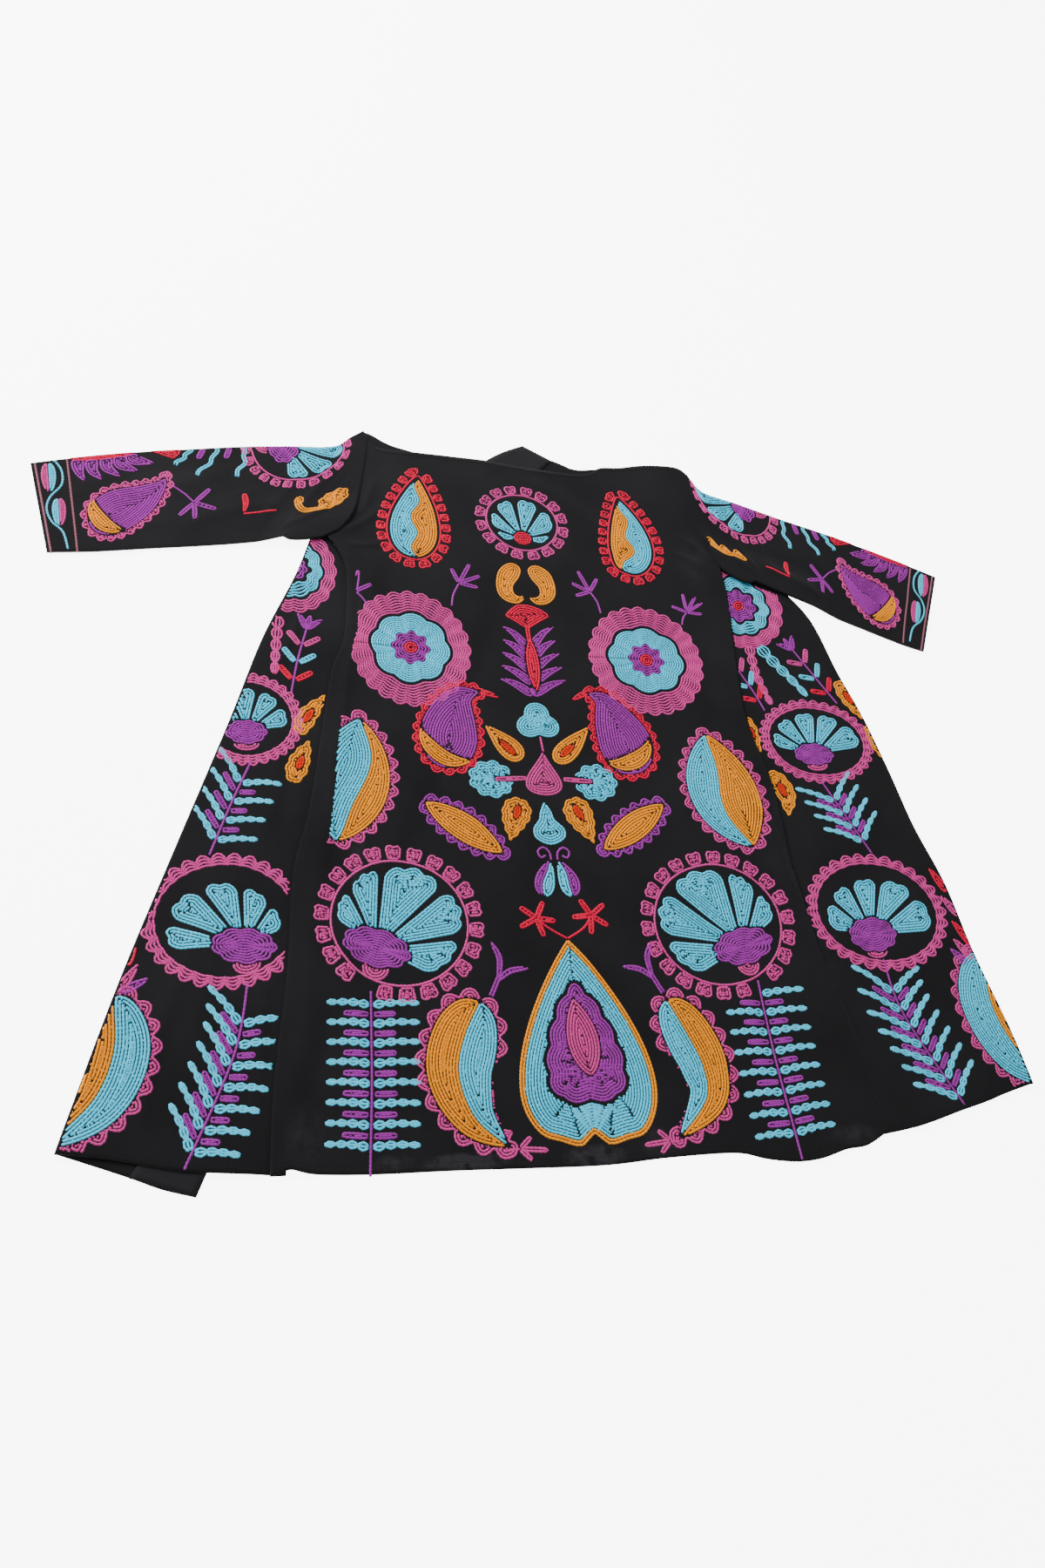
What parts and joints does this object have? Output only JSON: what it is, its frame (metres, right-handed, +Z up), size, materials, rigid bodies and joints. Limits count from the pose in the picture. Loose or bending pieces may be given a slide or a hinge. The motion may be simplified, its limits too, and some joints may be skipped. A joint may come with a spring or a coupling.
{
  "type": "duster coat",
  "caption": "Long black cotton duster coat with folk embroidery, laid flat face down with its back uppermost and its sleeves out to the sides.",
  "frame": {"origin": "middle of the laid coat's outline, on the surface that it lies on", "axes": "+X across the coat from one cuff to the other, +Y from hem to neck, +Z up"},
  "size_m": [1.233, 0.975, 0.011],
  "materials": {
    "black_cotton": "matt plain weave",
    "facing_cotton": "matt plain weave",
    "embroidery": "chain stitch in soft twisted thread"
  },
  "bodies": {
    "root": {"back": "black_cotton", "front_left": "black_cotton", "front_right": "black_cotton", "facing_left": "facing_cotton", "facing_right": "facing_cotton", "sleeve_left": "black_cotton", "sleeve_right": "black_cotton"}
  },
  "joints": []
}
